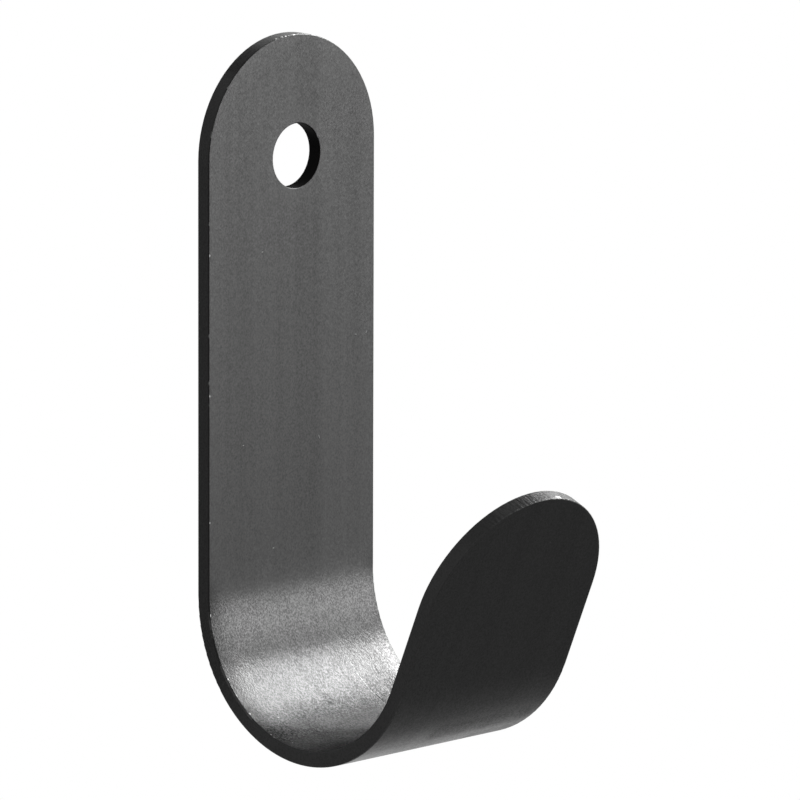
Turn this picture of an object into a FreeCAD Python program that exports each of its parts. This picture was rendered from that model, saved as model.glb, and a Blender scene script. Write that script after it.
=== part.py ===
import FreeCAD, Part
import os

# A towel hook for a wall: one steel strip with full-round ends, bent once into a J, with a screw hole.
# Lengths are in millimetres and angles in degrees. The wall is the plane Y = 0 and the plate lies flat
# on it; the hook reaches out towards -Y, Z is up, and X runs across the strip.
# The origin is the centre of the screw hole, on the face that meets the wall.

# The strip
strip_width = 22.0
strip_thickness = 1.5
edge_round = 0.1

# The bend and the two legs that it joins
hook_height = 67.0  # from the lowest point of the bend to the top of the plate
bend_inner_radius = 12.7
arm_lean = 23.0  # between the arm and the plate, so that the mouth opens upwards
arm_length = 20.0  # from the end of the bend to the tip, along the arm

# The screw hole
hole_diameter = 6.2
hole_below_top = 11.7
hole_off_centre = 0.6  # the punch stood this far to the right of the strip's centre line

# A cutting tool starts and ends this far outside the metal
cut_clearance = 1.0

# A rounding takes at most this share of the thickness, so that a flat band is left between the two rims
largest_round_share = 0.4

# Places that follow from the sizes
half_width = strip_width / 2
strip_centre_x = -hole_off_centre
plate_top_z = hole_below_top
bend_outer_radius = bend_inner_radius + strip_thickness
bend_centre_y = -bend_outer_radius
bend_centre_z = plate_top_z - hook_height + bend_outer_radius
bend_turn = 180 - arm_lean
plate_length = plate_top_z - bend_centre_z

# The strip goes down the wall and turns away from it, which is a positive turn about -X
bend_centre = FreeCAD.Vector(strip_centre_x, bend_centre_y, bend_centre_z)
bend_axis = FreeCAD.Vector(-1, 0, 0)
across_the_metal = FreeCAD.Vector(0, -strip_thickness, 0)


def straight_leg(length):
    """A flat length of strip that stands on the level of the bend's centre and ends in a full round."""
    left_x = strip_centre_x - half_width
    right_x = strip_centre_x + half_width
    tip_z = bend_centre_z + length
    shoulder_z = tip_z - half_width
    foot_left = FreeCAD.Vector(left_x, 0, bend_centre_z)
    foot_right = FreeCAD.Vector(right_x, 0, bend_centre_z)
    shoulder_left = FreeCAD.Vector(left_x, 0, shoulder_z)
    shoulder_right = FreeCAD.Vector(right_x, 0, shoulder_z)
    tip = FreeCAD.Vector(strip_centre_x, 0, tip_z)
    outline = Part.Wire([
        Part.makeLine(foot_left, foot_right),
        Part.makeLine(foot_right, shoulder_right),
        Part.Arc(shoulder_right, tip, shoulder_left).toShape(),
        Part.makeLine(shoulder_left, foot_left),
    ])
    return Part.Face(outline).extrude(across_the_metal)


def plate():
    """The leg that lies on the wall."""
    return straight_leg(plate_length)


def arm():
    """The short leg in front. It is laid out below the plate as on the flat strip, then bent round."""
    leg = straight_leg(arm_length)
    half_turn = 180
    leg.rotate(FreeCAD.Vector(strip_centre_x, 0, bend_centre_z), FreeCAD.Vector(0, 1, 0), half_turn)
    leg.rotate(bend_centre, bend_axis, bend_turn)
    return leg


def bend():
    """The curved metal between the legs: the strip's section swung about the centre of the bend."""
    corner = FreeCAD.Vector(strip_centre_x - half_width, 0, bend_centre_z)
    bottom_edge = Part.makeLine(corner, corner + FreeCAD.Vector(strip_width, 0, 0))
    section = bottom_edge.extrude(across_the_metal)
    return section.revolve(bend_centre, bend_axis, bend_turn)


def screw_hole():
    """The metal that the punch takes out of the plate, square to the wall."""
    start = FreeCAD.Vector(0, cut_clearance, 0)
    depth = strip_thickness + 2 * cut_clearance
    return Part.makeCylinder(hole_diameter / 2, depth, start, FreeCAD.Vector(0, -1, 0))


def sharp_edges(solid):
    """The edges where two faces meet at a corner, and not where one face runs smoothly into the next."""
    smooth_below = 0.1  # radians between the two faces' normals
    found = []
    for edge in solid.Edges:
        middle = edge.valueAt((edge.FirstParameter + edge.LastParameter) / 2)
        normals = []
        for face in solid.ancestorsOfType(edge, Part.Face):
            u, v = face.Surface.parameter(middle)
            normals.append(face.normalAt(u, v))
        if len(normals) == 2 and normals[0].getAngle(normals[1]) > smooth_below:
            found.append(edge)
    return found


def hook():
    """The whole strip: both legs and the bend as one solid, with its hole and its broken edges."""
    bent_strip = plate().fuse([bend(), arm()]).removeSplitter()
    drilled = bent_strip.cut(screw_hole())
    rim_radius = min(edge_round, largest_round_share * strip_thickness)
    return drilled.makeFillet(rim_radius, sharp_edges(drilled))


os.makedirs("parts", exist_ok=True)
hook().exportStep("parts/hook.step")
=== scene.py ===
# %% [markdown]
# # A towel hook in near-black satin coat
# The real hook is one strip of steel with full-round ends. It was stamped flat, punched for one screw,
# folded once into a J, and then coated. So its shape is one solid, and that solid is already right.
# This lesson leaves the shape as it is. It sets up the camera, a small studio, and one careful finish.

# %% Load the hook
from math import cos, degrees, pi, radians, sin, tan

import bpy
from mathutils import Matrix, Vector


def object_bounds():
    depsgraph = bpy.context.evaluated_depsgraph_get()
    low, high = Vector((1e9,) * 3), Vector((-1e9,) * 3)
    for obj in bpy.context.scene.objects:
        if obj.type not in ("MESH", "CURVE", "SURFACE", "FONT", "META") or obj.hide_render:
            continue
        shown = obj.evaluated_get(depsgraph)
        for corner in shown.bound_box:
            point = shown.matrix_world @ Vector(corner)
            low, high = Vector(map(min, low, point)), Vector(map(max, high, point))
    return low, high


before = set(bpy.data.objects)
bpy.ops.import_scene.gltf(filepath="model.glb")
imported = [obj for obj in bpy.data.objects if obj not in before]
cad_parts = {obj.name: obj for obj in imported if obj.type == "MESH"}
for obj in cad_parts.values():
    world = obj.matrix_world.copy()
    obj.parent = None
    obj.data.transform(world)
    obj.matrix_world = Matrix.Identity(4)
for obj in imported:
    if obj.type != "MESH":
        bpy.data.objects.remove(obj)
solid_low, solid_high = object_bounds()
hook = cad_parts["hook"]
MM = 0.001
print("hook:", len(hook.data.polygons), "faces,", [round(v / MM, 1) for v in solid_high - solid_low], "mm")

# %% [markdown]
# ## Where the camera stood
# The hook was seen from the front left and a little above, from far away through a long lens, so the two
# legs hardly narrow with distance. The camera could be placed by eye, but angles and a distance in metres
# are easier to check. They were found by fitting the hook's outline: 45 degrees to the left, 11 degrees up.

# %% Camera
view_left = radians(-45.09)
view_up = radians(11.20)
view_roll = radians(0.158)
view_distance = 1.217
lens_length = 576.4
aim_right = 11.33 * MM
aim_up = -1.84 * MM
nearest_seen = 0.05
farthest_seen = 20.0

towards_camera = Vector((sin(view_left) * cos(view_up), -cos(view_left) * cos(view_up), sin(view_up)))
camera_right = Vector((cos(view_left), sin(view_left), 0))
camera_up = towards_camera.cross(camera_right)
middle_x = (solid_low.x + solid_high.x) / 2
middle_z = (solid_low.z + solid_high.z) / 2
wall_middle = Vector((middle_x, 0, middle_z))
aim = wall_middle + camera_right * aim_right + camera_up * aim_up

camera = bpy.data.objects.new("camera", bpy.data.cameras.new("camera"))
bpy.context.scene.collection.objects.link(camera)
bpy.context.scene.camera = camera
facing = Matrix((camera_right, camera_up, towards_camera)).transposed()
camera.rotation_euler = (facing @ Matrix.Rotation(view_roll, 3, "Z")).to_euler()
camera.location = aim + towards_camera * view_distance
camera.data.lens = lens_length
camera.data.clip_start = nearest_seen
camera.data.clip_end = farthest_seen
bpy.context.scene.view_settings.view_transform = "Standard"
print("camera at", [round(v, 3) for v in camera.location])

# %% [markdown]
# ## Wires for the materials
# A finish is a network of nodes, and most of them only add, multiply or compare. One small class wraps a
# node's output, so that `1 - mask` or `a * b + c` adds the Math nodes by itself. Every other node comes
# from its one method `node`, which sets the node's own settings first and then its sockets.
# Most masks here are soft steps. `fade` makes one step, and `stretch` makes one up and one down.

# %% Wires
class Wire:
    """What one output of a node gives. Arithmetic on it adds Math nodes to the same network."""

    def __init__(self, tree, socket=None):
        self.tree = tree
        self.socket = socket

    def node(self, kind, settings, values, output=0):
        """Add a node: its settings first, then a number or a wire for each of its sockets."""
        made = self.tree.nodes.new(kind)
        for name, setting in settings.items():
            setattr(made, name, setting)
        for name, value in values.items():
            if isinstance(value, Wire):
                self.tree.links.new(value.socket, made.inputs[name])
            else:
                made.inputs[name].default_value = value
        return Wire(self.tree, made.outputs[output]) if made.outputs else None

    def maths(self, operation, *values):
        return self.node("ShaderNodeMath", {"operation": operation}, dict(enumerate(values)))

    def __add__(self, other):
        return self.maths("ADD", self, other)

    def __sub__(self, other):
        return self.maths("SUBTRACT", self, other)

    def __rsub__(self, other):
        return self.maths("SUBTRACT", other, self)

    def __mul__(self, other):
        return self.maths("MULTIPLY", self, other)

    def __truediv__(self, other):
        return self.maths("DIVIDE", self, other)

    def __pow__(self, other):
        return self.maths("POWER", self, other)

    __radd__ = __add__
    __rmul__ = __mul__

    def at_least(self, other):
        return self.maths("MAXIMUM", self, other)

    def at_most(self, other):
        return self.maths("MINIMUM", self, other)

    def size(self):
        return self.maths("ABSOLUTE", self)

    def fade(self, none_at, full_at):
        """0 at one value and 1 at the other, in a soft step that may rise or fall."""
        settings = {"interpolation_type": "SMOOTHSTEP"}
        values = {"Value": self, "From Min": none_at, "From Max": full_at}
        return self.node("ShaderNodeMapRange", settings, values)

    def stretch(self, none_at, full_from, full_to, gone_at):
        """1 between full_from and full_to, with a soft step on both sides."""
        return self.fade(none_at, full_from) * self.fade(gone_at, full_to)


def new_material(name):
    """A material with an empty network, and a wire to start from."""
    material = bpy.data.materials.new(name)
    material.use_nodes = True
    material.node_tree.nodes.clear()
    return material, Wire(material.node_tree)


def finish_material(wires, shader):
    wires.node("ShaderNodeOutputMaterial", {}, {"Surface": shader})


def add_up(start, parts):
    """The start plus each part, where a part is a mask and how much it counts."""
    total = start
    for mask, amount in parts:
        total = mask * amount + total
    return total


print("a wire can:", ", ".join(name for name in vars(Wire) if not name.startswith("_")))

# %% [markdown]
# ## The white background
# The hook floats on pure white. The world is white where the camera, a reflection or a clear part looks at
# it, and dimmer where it only lights things, so that the white doesn't wash the black coat out.

# %% World
fill_light = 0.3
white = (1, 1, 1, 1)
world = bpy.data.worlds.new("white background")
bpy.context.scene.world = world
world.use_nodes = True
world.node_tree.nodes.clear()
sky = Wire(world.node_tree)
camera_sees = sky.node("ShaderNodeLightPath", {}, {}, "Is Camera Ray")
gloss_sees = sky.node("ShaderNodeLightPath", {}, {}, "Is Glossy Ray")
glass_sees = sky.node("ShaderNodeLightPath", {}, {}, "Is Transmission Ray")
seen = camera_sees.at_least(gloss_sees).at_least(glass_sees)
strength = seen * (1 - fill_light) + fill_light
background = sky.node("ShaderNodeBackground", {}, {"Color": white, "Strength": strength})
sky.node("ShaderNodeOutputWorld", {}, {"Surface": background})
print("world: white where it is seen,", fill_light, "where it lights")

# %% [markdown]
# ## The table
# The hook stood above a pale table, whose far edge ended a little behind it. The underside of the arm
# mirrors that table, and beyond its edge the white paper, which gives the bottom of the bend its bright
# line. A table without an edge would leave that line out, so this one is a plain rectangle that stops
# where the real one did.

# %% Table
table_z = -0.30
table_grey = 0.42
table_reach = 3.0
table_far_edge = 0.253
away = Vector((-sin(view_left), cos(view_left), 0))


def place_mesh(name, corners, faces, material):
    """A plain mesh in the scene that is part of the stage and not of the hook."""
    mesh = bpy.data.meshes.new(name)
    mesh.from_pydata([tuple(corner) for corner in corners], [], faces)
    mesh.materials.append(material)
    placed = bpy.data.objects.new(name, mesh)
    bpy.context.scene.collection.objects.link(placed)
    return placed


def table_corner(sideways, outwards):
    corner = camera_right * sideways + away * outwards
    corner.z = table_z
    return corner


paper, wires = new_material("pale table")
paper_shader = wires.node("ShaderNodeBsdfDiffuse", {}, {"Color": (table_grey, table_grey, table_grey, 1)})
finish_material(wires, paper_shader)
table_corners = [
    table_corner(-table_reach, -table_reach),
    table_corner(table_reach, -table_reach),
    table_corner(table_reach, table_far_edge),
    table_corner(-table_reach, table_far_edge),
]
place_mesh("floor", table_corners, [(0, 1, 2, 3)], paper)
print("table:", -table_z, "m below the screw hole")

# %% [markdown]
# ## The grey studio
# Beside the hook, behind the camera and overhead the room was grey: the cut edge of the strip mirrors it
# and stays dark. A darker paint on the cut edge would look right from one side only. Big grey cards do
# what the room did: a ring of them with an opening behind the hook, and one overhead. Only gloss sees
# them, so they cast no shadow and hide nothing.

# %% Grey cards
room_grey = 0.43
room_radius = 2.4
opening_half_angle = radians(41)
opening_top_angle = radians(23)
card_count = 64
ceiling_overlap = 1.02

room_height = room_radius * tan(opening_top_angle)
full_turn = 2 * pi
ringed_turn = full_turn - 2 * opening_half_angle
card_corners = []
card_faces = []
for step in range(card_count + 1):
    turn = opening_half_angle + ringed_turn * step / card_count
    direction = away * cos(turn) + camera_right * sin(turn)
    card_corners.append(direction * room_radius + Vector((0, 0, table_z)))
    card_corners.append(direction * room_radius + Vector((0, 0, room_height)))
for step in range(card_count):
    first = 2 * step
    card_faces.append((first, first + 1, first + 3, first + 2))
ceiling = []
for step in range(card_count):
    turn = full_turn * step / card_count
    direction = away * cos(turn) + camera_right * sin(turn)
    ceiling.append(len(card_corners))
    card_corners.append(direction * room_radius * ceiling_overlap + Vector((0, 0, room_height)))
card_faces.append(tuple(ceiling))

card_grey, wires = new_material("grey card")
card_shader = wires.node("ShaderNodeEmission", {}, {"Color": (room_grey, room_grey, room_grey, 1)})
finish_material(wires, card_shader)
card_grey.cycles.emission_sampling = "NONE"
cards = place_mesh("grey_cards", card_corners, card_faces, card_grey)
cards.visible_camera = False
cards.visible_diffuse = False
cards.visible_shadow = False
print("cards:", len(card_faces), "faces,",
      "white opening", round(2 * degrees(opening_half_angle)), "degrees wide")

# %% [markdown]
# ## Three soft boxes and a wall card
# A dark glossy thing is lit by what it mirrors, so each lamp here draws one shape on the metal. The large
# box gives the plate its even grey and the start of the bend its first pale band. The key strip draws the
# bright band low in the bend, the top box lets that band fade downwards, and a weak card by the wall keeps
# the lowest part from going black. A bend mirrors what stands round it, so a lamp's place is easiest to
# say as an angle round the bend: 0 is level, 90 is straight above. Grids keep the light off the table.

# %% Lamps
mirror_x = 0.6947  # how far to the right the strip mirrors what the camera sees
ring_radius = (1 - mirror_x ** 2) ** 0.5
lamp_target = Vector((0, 0, -0.03))
rightwards = Vector((1, 0, 0))


def soft_box(name, round_bend, distance, height, width, swing, brightness, grid):
    """A lamp at an angle round the bend, turned to face the hook. Brightness 1 would look white."""
    angle = radians(round_bend)
    outwards = Vector((mirror_x, -ring_radius * cos(angle), ring_radius * sin(angle)))
    along_ring = Vector((0, sin(angle), cos(angle)))
    side = (rightwards - outwards * outwards.x).normalized()
    outwards = (outwards * cos(radians(swing)) + side * sin(radians(swing))).normalized()
    sideways = along_ring.cross(outwards).normalized()
    upright = outwards.cross(sideways)
    half_grid = radians(grid) / 2
    grid_gain = tan(half_grid) / (tan(half_grid) - half_grid)
    light = bpy.data.lights.new(name, "AREA")
    light.shape = "RECTANGLE"
    light.size = width
    light.size_y = height
    light.spread = radians(grid)
    light.energy = brightness * pi * width * height / grid_gain
    lamp = bpy.data.objects.new(name, light)
    lamp.location = lamp_target + outwards * distance
    lamp.rotation_euler = Matrix((sideways, upright, outwards)).transposed().to_euler()
    lamp.visible_camera = False
    bpy.context.scene.collection.objects.link(lamp)
    print(name, "at", [round(v, 2) for v in lamp.location], "with", round(light.energy, 1), "W")


soft_box("key_strip", round_bend=61.4, distance=0.448, height=0.195, width=0.085, swing=7.5,
         brightness=49.5, grid=100)
soft_box("large_box", round_bend=10.0, distance=1.65, height=0.97, width=0.377, swing=1.2,
         brightness=14.0, grid=90)
soft_box("top_box", round_bend=97.5, distance=0.509, height=0.173, width=0.09, swing=9.0,
         brightness=44.0, grid=100)
soft_box("wall_card", round_bend=128, distance=0.60, height=0.20, width=0.20, swing=0,
         brightness=1.7, grid=100)

# %% [markdown]
# ## Laying the strip flat again
# The rolling marks and streaks were in the sheet before it was folded, so they run round the bend. A
# texture in plain space would cut straight through it instead. One way out is an unwrapped UV map, but the
# solid has none. The other way is to work the flat position out in the material: pull each point back to
# the bend, take its angle there, and add the length of the leg. The result is in millimetres: how far
# across the strip, how far along it from the start of the bend, and how deep in from the wall's side.

# %% Flat strip
thickness = 1.5
inner_radius = 12.7
arm_lean = 23
arm_length = 20.0
half_width = 11.0
outer_radius = inner_radius + thickness
middle_radius = inner_radius + thickness / 2
fold_angle = radians(180 - arm_lean)
bend_length = middle_radius * fold_angle
strip_middle = middle_x / MM
bend_y = -outer_radius
bend_z = solid_low.z / MM + outer_radius
plate_end = -(solid_high.z / MM - bend_z)
arm_end = bend_length + arm_length

coat, wires = new_material("near-black satin coat")
place = wires.node("ShaderNodeTexCoord", {}, {}, "Object")
place = wires.node("ShaderNodeVectorMath", {"operation": "SCALE"}, {0: place, "Scale": 1 / MM})
across = wires.node("ShaderNodeSeparateXYZ", {}, {0: place}, "X") - strip_middle
y_from_bend = wires.node("ShaderNodeSeparateXYZ", {}, {0: place}, "Y") - bend_y
z_from_bend = wires.node("ShaderNodeSeparateXYZ", {}, {0: place}, "Z") - bend_z

on_wall_side = wires.maths("GREATER_THAN", y_from_bend, 0)
up_plate = z_from_bend.at_least(0) * on_wall_side
arm_y = -sin(fold_angle)
arm_z = -cos(fold_angle)
up_arm = (y_from_bend * arm_y + z_from_bend * arm_z).at_least(0) * (1 - on_wall_side)
ring_y = y_from_bend - up_arm * arm_y
ring_z = z_from_bend - up_plate - up_arm * arm_z
turned = wires.maths("ARCTAN2", 0 - ring_z, ring_y)
ring_distance = (ring_y * ring_y + ring_z * ring_z) ** 0.5

along = turned * middle_radius - up_plate + up_arm
depth = outer_radius - ring_distance
flat = wires.node("ShaderNodeCombineXYZ", {}, {"X": across, "Y": along, "Z": depth})
print("flat strip:", round(arm_end - plate_end, 1), "mm long, the bend takes", round(bend_length, 1), "mm")

# %% [markdown]
# ## Where the rims are
# The coat is thin on a sharp edge, and the punch leaves one rim rounder than the other. A material can
# find edges with a bevel or pointiness node, but those depend on the renderer and on the mesh. On the flat
# strip the outline is known exactly: two straight sides and two half circles, and a round hole. So every
# mask below is a distance in millimetres: from the outline, from the hole, or in from one of the faces.

# %% Rims
hole_radius = 3.1
hole_across = -strip_middle
hole_along = bend_z
plate_round = plate_end + half_width
arm_round = arm_end - half_width
past_round = (plate_round - along).at_least(along - arm_round).at_least(0)
from_edge = half_width - (across * across + past_round * past_round) ** 0.5
hole_x = across - hole_across
hole_y = along - hole_along
from_hole = (hole_x * hole_x + hole_y * hole_y) ** 0.5 - hole_radius
from_outline = from_edge.at_most(from_hole)
in_from_outline = from_outline.at_least(0)
in_from_front = (thickness - depth).at_least(0)
in_from_wall = depth.at_least(0)

front_rim = (in_from_outline + in_from_front).fade(none_at=0.14, full_at=0.04)
wall_rim = (in_from_outline + in_from_wall).fade(none_at=0.16, full_at=0.06)
cut_band = from_outline.fade(none_at=0.09, full_at=0.03)
in_bore = from_hole.fade(none_at=0.05, full_at=0.01)
front_side = depth.fade(none_at=1.2, full_at=1.4)
wall_side = depth.fade(none_at=0.4, full_at=0.2)
print("plate's round end starts", round(plate_round - plate_end, 1), "mm from its tip")

# %% [markdown]
# ## A bend that starts gently
# A press brake doesn't stop bending at a line: the sheet turns in over a millimetre or so, and the solid's
# mesh is made of narrow flats besides. In a satin coat both would show as a hard line across the strip.
# Cutting the mesh finer would only help with the flats. Instead the material works out the direction that
# the real face looks in, from the flat position, and uses it on the two broad faces only.

# %% True direction of the broad faces
soft_start = 1.0
late_start = 0.15
geometry_normal = wires.node("ShaderNodeNewGeometry", {}, {}, "Normal")


def soft_ramp(distance):
    """0 before the bend, growing as distance after it, with a soft start instead of a corner."""
    return (distance + (distance * distance + soft_start ** 2) ** 0.5) / 2


turn_begun = soft_ramp(along - late_start)
turn_ended = soft_ramp(along - bend_length + late_start)
soft_turn = (turn_begun - turn_ended) / middle_radius
inwards_y = 0 - wires.maths("COSINE", soft_turn)
inwards_z = wires.maths("SINE", soft_turn)
inwards = wires.node("ShaderNodeCombineXYZ", {}, {"Y": inwards_y, "Z": inwards_z})
to_world = {"vector_type": "NORMAL", "convert_from": "OBJECT", "convert_to": "WORLD"}
inwards = wires.node("ShaderNodeVectorTransform", to_world, {"Vector": inwards})

both_directions = {0: geometry_normal, 1: inwards}
agreement = wires.node("ShaderNodeVectorMath", {"operation": "DOT_PRODUCT"}, both_directions, "Value")
broad_face = agreement.size().fade(none_at=0.990, full_at=0.997)
inner_side = wires.maths("GREATER_THAN", agreement, 0) * broad_face
facing_sign = wires.maths("SIGN", agreement)
true_normal = wires.node("ShaderNodeVectorMath", {"operation": "SCALE"}, {0: inwards, "Scale": facing_sign})

MIX_FACTOR = 0
MIX_FIRST_VECTOR = 4
MIX_SECOND_VECTOR = 5
MIX_VECTOR_OUT = 1
mixed = {MIX_FACTOR: broad_face, MIX_FIRST_VECTOR: geometry_normal, MIX_SECOND_VECTOR: true_normal}
smooth_normal = wires.node("ShaderNodeMix", {"data_type": "VECTOR"}, mixed, MIX_VECTOR_OUT)
print("the bend starts over about", 2 * soft_start, "mm")

# %% [markdown]
# ## Grain, streaks and waves
# Close up, the coat is a fine orange peel of bumps about a sixth of a millimetre wide. The sheet under it
# keeps faint rolling streaks that run along it, and slow waves that make the highlight patchy. Each is a
# noise on the flat strip: stretched for the streaks, fine for the grain.
#
# The fold pressed the metal on the inside of the bend together. The grain there is plainer, with one size
# of bump and no finer ones on top, and the bumps are steeper. So the grain has two noises, and a mask that
# says where the metal was pressed takes over from one to the other.

# %% Noise on the flat strip
def strip_noise(per_mm, detail, shift):
    """Noise on the flat strip, about -0.5 to 0.5. The grains per mm are across, along and deep."""
    moved = wires.node("ShaderNodeVectorMath", {"operation": "MULTIPLY_ADD"},
                       {0: flat, 1: per_mm, 2: (shift, shift, shift)})
    values = {"Vector": moved, "Scale": 1.0, "Detail": detail}
    return wires.node("ShaderNodeTexNoise", {"noise_dimensions": "3D"}, values, "Fac") - 0.5


flat_grain = strip_noise(per_mm=(6.5, 5.2, 5.5), detail=1.0, shift=11.3)
fold_grain = strip_noise(per_mm=(7.0, 5.4, 6.4), detail=0.0, shift=71.7)
rough_grain = strip_noise(per_mm=(1.6, 1.6, 1.6), detail=1.0, shift=47.1)
fine_streaks = strip_noise(per_mm=(1.6, 0.02, 0.5), detail=2.0, shift=5.7)
broad_streaks = strip_noise(per_mm=(0.32, 0.012, 0.2), detail=1.0, shift=29.4)
waves = strip_noise(per_mm=(0.25, 0.22, 0.2), detail=1.0, shift=83.9)
patches = strip_noise(per_mm=(0.7, 0.6, 0.6), detail=2.0, shift=3.1)
shear_marks = strip_noise(per_mm=(3.0, 3.0, 0.6), detail=2.0, shift=19.9)
rim_noise = strip_noise(per_mm=(1.1, 1.1, 1.1), detail=2.0, shift=63.2)
print("with its noises the coat has", len(coat.node_tree.nodes), "nodes")

# %% Pressed metal
past_the_plate = along.fade(none_at=-1.8, full_at=1.9)
before_the_rise = turned.fade(none_at=radians(83), full_at=radians(74))
pressed = past_the_plate * before_the_rise * inner_side
fine_grain = flat_grain * (1 - pressed) + fold_grain * pressed


def on_flat_or_in_fold(on_flat, in_fold):
    """A strength that is one number on flat metal and another where the fold pressed it."""
    return pressed * (in_fold - on_flat) + on_flat


print("grain: two noises, one for flat metal and one for the fold")

# %% [markdown]
# ## Marks that can be counted
# A used hook has a few marks that the eye finds at once: a thin line along the strip, a nick in the bend,
# and pale specks of dust or missing coat. Random noise never puts them in the right place, so these few
# are drawn one by one on the flat strip, as short strokes. Each row below is one stroke: where it starts
# and ends, in millimetres across and along the strip, and half of its thickness.
#
# The same stroke, made wide, draws the soft bands that run down the plate.

# %% Strokes on the flat strip
stroke_core = 0.5  # full up to this many half thicknesses from the middle line
stroke_reach = 1.5  # and gone from this many on


def stroke(start, end, half_thickness):
    """1 on a straight stroke between two flat places in mm, 0 off it, with soft sides."""
    run_x = end[0] - start[0]
    run_y = end[1] - start[1]
    run = (run_x ** 2 + run_y ** 2) ** 0.5
    from_x = across - start[0]
    from_y = along - start[1]
    down_run = (from_x * (run_x / run) + from_y * (run_y / run)).at_least(0).at_most(run)
    off_x = from_x - down_run * (run_x / run)
    off_y = from_y - down_run * (run_y / run)
    distance = (off_x * off_x + off_y * off_y) ** 0.5
    return distance.fade(none_at=half_thickness * stroke_reach, full_at=half_thickness * stroke_core)


def any_of(*marks):
    """1 on any of the strokes, each given as start, end and half thickness."""
    found = stroke(*marks[0])
    for mark in marks[1:]:
        found = found.at_least(stroke(*mark))
    return found


pale_marks = [
    ((-4.0, -32.4), (-3.9, -32.4), 0.06),
    ((8.5, -22.8), (8.6, -22.8), 0.06),
    ((9.9, -22.8), (10.0, -22.9), 0.06),
    ((3.6, -13.7), (3.7, -13.4), 0.04),
    ((-6.4, -14.1), (-6.5, -14.1), 0.05),
    ((-2.4, -3.6), (-2.5, -3.6), 0.05),
    ((7.4, 10.2), (7.25, 10.6), 0.03),
    ((-5.4, 17.2), (-5.3, 17.3), 0.06),
    ((-8.1, 14.1), (-8.0, 14.1), 0.06),
    ((-5.5, 17.4), (-5.4, 17.4), 0.06),
]
# Bright chips on the front rim, painted nearly white: partly bare metal, partly painted glint.
rim_marks = [
    ((-10.87, -33.0), (-10.87, -32.9), 0.04),
    ((-10.87, -19.5), (-10.87, -19.4), 0.04),
    ((-10.87, -7.3), (-10.87, -7.2), 0.03),
    ((-10.87, 1.7), (-10.87, 1.9), 0.04),
    ((-10.83, 8.45), (-10.83, 8.5), 0.07),
    ((-10.87, 10.3), (-10.87, 10.5), 0.04),
    ((-10.83, 12.8), (-10.83, 12.9), 0.08),
    ((-10.87, 16.3), (-10.87, 16.4), 0.04),
    ((-10.1, 18.6), (-10.1, 18.7), 0.04),
    ((-2.1, -52.63), (-2.0, -52.63), 0.05),
    ((-1.3, -52.70), (-1.25, -52.70), 0.03),
    ((-0.9, -52.71), (-0.8, -52.71), 0.04),
    ((0.1, -52.73), (0.4, -52.73), 0.03),
]
rim_lines = [
    ((-10.97, 1.5), (-10.97, 4.0), 0.07),
    ((-10.97, 7.0), (-10.97, 13.5), 0.05),
]
dark_lines = [
    ((5.2, 12.9), (5.33, 15.0), 0.06),
    ((7.65, 10.4), (7.5, 11.2), 0.08),
]
arm_marks = [
    ((-8.2, 53.7), (-8.1, 53.7), 0.09),
    ((-6.6, 54.9), (-6.5, 54.9), 0.07),
    ((-1.4, 53.8), (-1.3, 53.8), 0.06),
]
arm_pits = [
    ((-9.4, 52.5), (-9.3, 52.6), 0.14),
    ((-5.9, 56.0), (-5.8, 56.0), 0.10),
]
print("marks:", sum(map(len, (pale_marks, rim_marks, rim_lines, dark_lines, arm_marks, arm_pits))))

# %% Marks in their places
broken_up = rough_grain + 0.6
more_broken_up = rough_grain * 2 + 0.6
tip_edge = depth.stretch(none_at=0.10, full_from=0.20, full_to=0.40, gone_at=0.55)

pale = any_of(*pale_marks) * front_side
# Painted highlight: a nearly white stroke on the arm's tip is a painted glint of a lamp.
painted_tip_glint = stroke((2.0, 56.65), (2.35, 56.6), half_thickness=0.12) * tip_edge
# The bright rim chips join the painted glint.
painted_glint_and_bright_chips = painted_tip_glint.at_least(any_of(*rim_marks) * front_side)
arm_specks = any_of(*arm_marks) * wall_side
arm_dots = any_of(*arm_pits) * wall_side
rim_line = any_of(*rim_lines) * front_side * more_broken_up
rolled_line = stroke((4.98, 8.6), (5.2, 15.0), half_thickness=0.06) * inner_side * broken_up
dark_line = any_of(*dark_lines)
nick = stroke((-1.3, 12.7), (-1.5, 13.9), half_thickness=0.15) * inner_side
faint_scratch = stroke((-6.0, -31.7), (-4.0, -32.4), half_thickness=0.06) * inner_side
print("coat so far:", len(coat.node_tree.nodes), "nodes")

# %% [markdown]
# ## Random specks and the worn rim
# Between the marks that were drawn lie many smaller ones, and nobody could say where. A Voronoi texture
# scatters points and gives each a random number: the luckiest get a round speck, and the more luck, the
# larger it is. Along the front rim the coat is chipped where a noise runs high, a little more so where the
# fold strained it.

# %% Specks and chips
spots_per_mm = 0.3
luck_needed = 0.55
radius_for_luck = 0.2
speck_strength = 0.5
strained = 0.04
spots = wires.node("ShaderNodeVectorMath", {"operation": "SCALE"}, {0: flat, "Scale": spots_per_mm})


def nearest_spot(output):
    """The distance to the nearest scattered spot, or that spot's own random colour."""
    settings = {"voronoi_dimensions": "3D"}
    return wires.node("ShaderNodeTexVoronoi", settings, {"Vector": spots, "Scale": 1.0}, output)


spot_distance = nearest_spot("Distance") / spots_per_mm
spot_luck = wires.node("ShaderNodeSeparateColor", {}, {"Color": nearest_spot("Color")}, "Red")
spot_radius = (spot_luck - luck_needed).at_least(0) * radius_for_luck
specks = (spot_radius - spot_distance).fade(none_at=-0.02, full_at=0.03) * spot_luck * speck_strength
rim_chips = front_rim * (rim_noise + pressed * strained).fade(none_at=0.13, full_at=0.20)
worn = rim_chips.at_least(specks).at_least(pale)
print("specks: up to", round((1 - luck_needed) * radius_for_luck, 2), "mm in radius")
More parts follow.
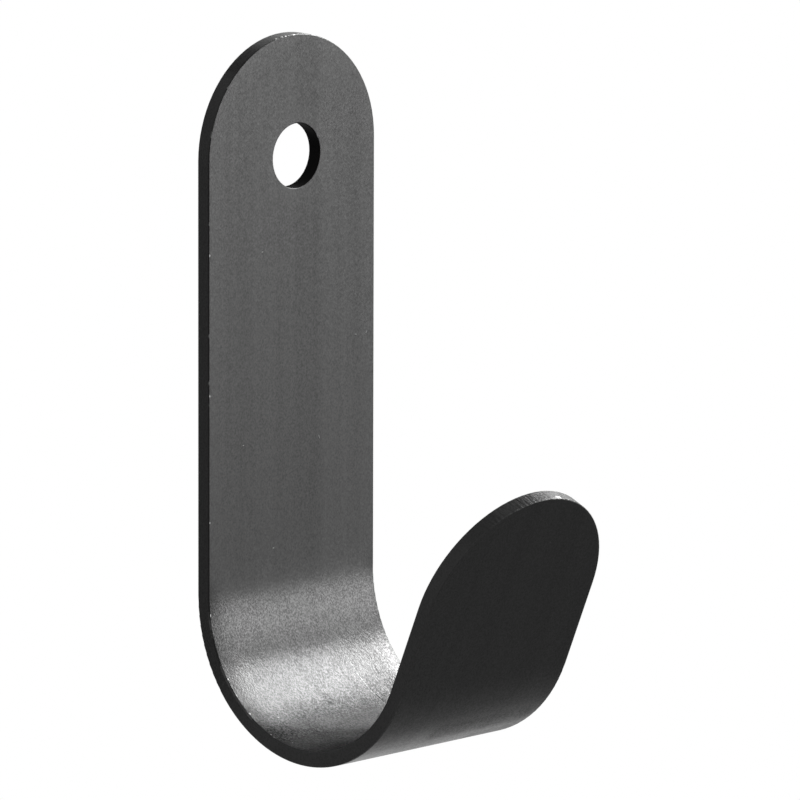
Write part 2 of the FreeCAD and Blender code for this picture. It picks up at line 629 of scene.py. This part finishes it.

# %% [markdown]
# ## Colour and roughness
# The coat is a near-black satin paint, so one Principled shader carries it. Its colour hardly shows: what
# the eye sees is the gloss. Only marks need a paler grey: dust, bare metal, the rolled line and the rim on
# the wall's side. Painted light needs it too: a nearly white painted glint on the arm's tip and on the
# front rim's chips, which are partly bare metal, and a paler cut band along the bend and arm. Each row of
# the list is one such place and how much paler it is. The roughness of the coat is nearly even, and a
# little more where it is worn or cut.

# %% Colour and roughness
coat_black = 0.0045
grain_in_black = 1.5
coat_roughness = 0.307

# Painted light: the cut band is painted paler from the middle of the bend to near the arm's tip.
painted_light_on_cut_band = cut_band * along.stretch(none_at=6, full_from=16, full_to=52, gone_at=56)
paler_places = [
    (worn, 0.17),
    (painted_glint_and_bright_chips, 0.8),
    (rim_line, 0.12),
    (rolled_line, 0.10),
    (painted_light_on_cut_band, 0.026),
    (arm_specks, 0.02),
    (nick, 0.02),
    (wall_rim, 0.012),
    (faint_scratch, 0.008),
]
grey = add_up((fine_grain * grain_in_black + 1) * coat_black, paler_places)
colour = wires.node("ShaderNodeCombineColor", {}, {"Red": grey, "Green": grey, "Blue": grey})

rougher_places = [
    (worn, 0.3),
    (cut_band, 0.06),
    (fine_grain, 0.05),
    (fine_streaks, 0.02),
]
roughness = add_up(coat_roughness, rougher_places)
print("colour: black of", coat_black, "with", len(paler_places), "paler kinds of place")

# %% [markdown]
# ## Relief
# Bumps could be cut into the mesh, but at a sixth of a millimetre that takes millions of faces, and the
# outline wouldn't change. A Bump node tilts the light instead. All heights here are in millimetres. Inside
# the fold the grain stands three times as high, and the metal rolls over towards its sides. The cut band
# has shear marks from the punch, deepest round the arm's tip, where the light catches them.

# %% Relief
roll_width = 2.5
shear_height = 0.015
more_shear_at_tip = 0.05
roll = (roll_width - from_edge).at_least(0)
shear_depth = along.fade(none_at=48, full_at=54) * more_shear_at_tip + shear_height

reliefs = [
    (fine_grain, on_flat_or_in_fold(on_flat=0.003, in_fold=0.009)),
    (rough_grain, on_flat_or_in_fold(on_flat=0.002, in_fold=0.010)),
    (waves, pressed * 0.02),
    (roll * roll * pressed, -0.010),
    (shear_marks, cut_band * shear_depth),
    (fine_grain, cut_band * 0.01),
    (worn, 0.01),
    (rolled_line, -0.004),
]
height = add_up(0, reliefs)
normal = wires.node("ShaderNodeBump", {},
                    {"Height": height, "Distance": MM, "Strength": 1.0, "Normal": smooth_normal}, "Normal")
print("relief:", len(reliefs), "forms")

# %% [markdown]
# ## Dry film and painted shading
# Sprayed paint doesn't wet every place alike. Where it lands dry it mirrors less, and on a black part that
# is nearly all of the look: the grain, the streaks and the bands down the plate are places where the gloss
# is weaker. The same mix also paints shade and light: less gloss where the bend, the arm's tip, the
# underside and the hole's wall should look darker, and more where the plate's foot and edges should look
# brighter. The specular level could carry this, but a level that varies is often lost on export. So a satin
# shader is mixed with a matt black one, and the share of matt, for film and painted shading alike, is
# called the film: 0 mirrors fully and 1 not at all. Every row below says where film lies and how much.
#
# On the inner side, painted light makes the plate brighter towards its foot and near its edges. In the
# bend, painted shade darkens the corner at the arm's foot, a band below the highlight, its left edge, a dip
# above it, its right end, a notch and a patch. Under the arm, painted shade and light make the underside
# darker towards the right. The hole's wall is painted matt black: painted shade in the bore.

# %% Film and painted shade all over
base_film = 0.18
# Painted shade in the hole: its wall is turned matt black.
painted_bore_shade = 0.9
band_foot = along.fade(none_at=1, full_at=-4)
dark_band = stroke((2.2, plate_end), (2.2, 0), half_thickness=1.5) * band_foot
broad_band = stroke((1.5, plate_end), (1.5, 0), half_thickness=3.5) * band_foot
light_band = stroke((4.8, plate_end), (4.8, 18), half_thickness=0.5)
# Painted shade: the cut band loses gloss round the arm's tip.
painted_shade_tip = along.fade(none_at=55.8, full_at=56.7) * across.fade(none_at=3.0, full_at=0.5)
# The cut band also loses gloss at the left of the plate's top end.
cut_band_duller_top_left = along.fade(none_at=-49, full_at=-50.5) * across.fade(none_at=-3.6, full_at=-4.8)

film_and_shading_everywhere = [
    (fine_grain, on_flat_or_in_fold(on_flat=0.75, in_fold=1.0)),
    (fine_grain * fine_grain * pressed, -0.8),
    (patches * pressed, 0.2),
    (fine_streaks, 0.12),
    (broad_streaks, 0.12),
    (dark_band, 0.045),
    (broad_band, 0.015),
    (light_band, -0.02),
    (cut_band, -0.12),
    (cut_band * painted_shade_tip, 0.45),
    (cut_band * cut_band_duller_top_left, 0.35),
]
film_and_painted_shading = add_up(base_film, film_and_shading_everywhere)
print("film:", len(film_and_shading_everywhere), "places on both sides")

# %% Film and painted shading on the inner side
base_inner_film = 0.08
corner_slant = 0.36
# Painted shade: less gloss darkens the lowest part of the bend, towards the arm's foot.
painted_shade_corner = (along - across * corner_slant).fade(none_at=17.15, full_at=20.15)
painted_shade_corner = painted_shade_corner * along.fade(none_at=32, full_at=26)
# Painted shade: a darker band just below the highlight, weaker at the left edge.
painted_shade_band = along.stretch(none_at=11.8, full_from=14.0, full_to=14.6, gone_at=16.4)
painted_shade_band = painted_shade_band * across.fade(none_at=-12, full_at=-6)
# Painted shade: the bend darker towards its right edge, from the highlight down.
painted_shade_right = across.fade(none_at=0, full_at=9) * along.fade(none_at=6, full_at=8)
# Painted shade: the bend's left edge darker above and below the highlight.
above_highlight = along.stretch(none_at=0, full_from=1.0, full_to=5.2, gone_at=6.3)
below_highlight = along.stretch(none_at=11.6, full_from=12.6, full_to=15.5, gone_at=18)
painted_shade_left = (above_highlight + below_highlight) * across.fade(none_at=-7, full_at=-10)
# Painted shade: a dark dip just above the highlight.
dip = along.stretch(none_at=3.0, full_from=4.4, full_to=5.2, gone_at=6.3)
# Painted shade: a dark notch by the nick, and a darker patch at the right of the highlight's lower edge.
painted_shade_notch = stroke((-0.5, 12.6), (-0.55, 13.6), half_thickness=0.35)
painted_shade_patch = stroke((4.2, 12.1), (8.5, 11.9), half_thickness=0.9)
# Painted light: less film makes the plate brighter towards its foot, and near its edges and the hole.
painted_light_foot = along.fade(none_at=-50, full_at=-2)
painted_light_sides = from_outline.fade(none_at=2.5, full_at=0.3) * (1 - pressed)

inner_places = [
    (painted_shade_corner, 0.42),
    (dark_line, 0.3),
    (painted_shade_band, 0.28),
    (painted_shade_notch, 0.14),
    (painted_shade_patch, 0.13),
    (painted_shade_left, 0.11),
    (painted_shade_right, 0.09),
    (dip, 0.04),
    (painted_light_foot, -0.055),
    (painted_light_sides, -0.05),
]
film_and_painted_shading = film_and_painted_shading + inner_side * add_up(base_inner_film, inner_places)
print("film:", len(inner_places), "places on the inner side")

# %% Film and painted shading on the wall's side
# Painted shade and light under the arm: two soft strokes take gloss away and one adds it, so the underside
# looks darker towards the right.
painted_shade_under = stroke((-1.8, 30.4), (9.0, 30.4), half_thickness=1.3)
painted_shade_far_under = stroke((5.5, 26.9), (9.8, 27.4), half_thickness=1.0)
painted_light_under = stroke((-9.5, 27.5), (-6.5, 27.5), half_thickness=1.1)

wall_places = [
    (arm_dots, 0.5),
    (painted_shade_under * wall_side, 0.22),
    (painted_shade_far_under * wall_side, 0.14),
    (painted_light_under * wall_side, -0.14),
]
film_and_painted_shading = add_up(film_and_painted_shading, wall_places)
film_and_painted_shading = film_and_painted_shading.at_least(0).at_least(in_bore * painted_bore_shade).at_most(1)
print("film:", len(wall_places), "places on the wall's side")

# %% [markdown]
# ## The coat
# Now the parts come together: a satin shader with the colour, roughness and relief, a matt black one, and
# the film with its painted shading between them. What is the same all over, such as the index of
# refraction, is set on the shader itself. The finished coat takes the place of the plain material in the
# hook's slot.

# %% Coat
paint_ior = 1.5
matt_black = (0.005, 0.005, 0.005, 1)
matt_roughness = 0.8
satin = wires.node("ShaderNodeBsdfPrincipled", {},
                   {"Base Color": colour, "Roughness": roughness, "IOR": paint_ior, "Normal": normal})
matt = wires.node("ShaderNodeBsdfPrincipled", {},
                  {"Base Color": matt_black, "Roughness": matt_roughness, "Specular IOR Level": 0.0})
whole = wires.node("ShaderNodeMixShader", {}, {0: film_and_painted_shading, 1: satin, 2: matt})
finish_material(wires, whole)

hook.data.materials.clear()
hook.data.materials.append(coat)
print("coat:", len(coat.node_tree.nodes), "nodes")

# %% [markdown] ## The end
# The coat changes only the hook's material, so its size stays the solid's box from the start.
